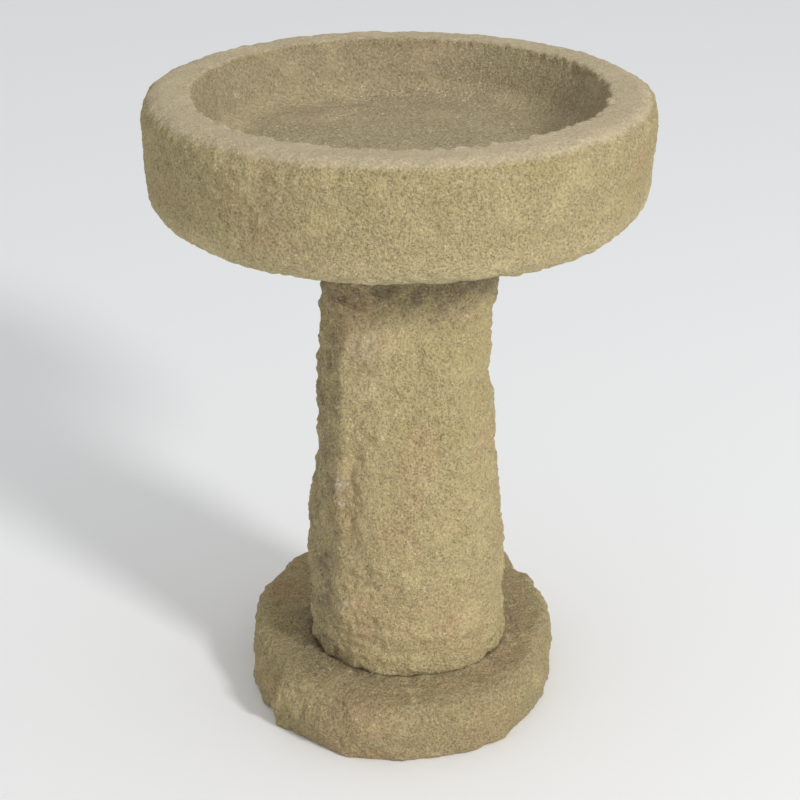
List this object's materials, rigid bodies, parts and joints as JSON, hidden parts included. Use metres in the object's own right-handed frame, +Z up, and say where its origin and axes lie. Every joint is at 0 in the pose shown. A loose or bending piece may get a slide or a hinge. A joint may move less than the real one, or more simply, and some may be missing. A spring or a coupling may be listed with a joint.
{
  "type": "bird bath",
  "caption": "Rustic cast-stone bird bath: a thick round dish with a broad flat rim on a hewn round pedestal and a rough slab plinth, stacked dry on dowels.",
  "frame": {"origin": "on the ground, under the middle of the basin and on the axis of both dowels", "axes": "+Z up along the dowels; -Y is the front; +X is to the right as seen from the front"},
  "size_m": [0.5, 0.5, 0.658],
  "materials": {
    "plinth_stone": "rough cast stone, buff, open grained",
    "pedestal_stone": "rough hewn cast stone, greenish buff",
    "basin_stone": "tooled cast stone, pinkish buff, smoother on the rim",
    "dowel_steel": "plain round bar, dull"
  },
  "bodies": {
    "plinth": {"plinth": "plinth_stone", "lower_dowel": "dowel_steel"},
    "pedestal": {"pedestal": "pedestal_stone", "upper_dowel": "dowel_steel"},
    "basin": {"basin": "basin_stone"}
  },
  "joints": [
    {"name": "pedestal_lift", "type": "slide", "parent": "plinth", "child": "pedestal", "axis": [0, 0, 1], "range_m": [0, 0.15]},
    {"name": "basin_lift", "type": "slide", "parent": "pedestal", "child": "basin", "axis": [0, 0, 1], "range_m": [0, 0.15]}
  ]
}
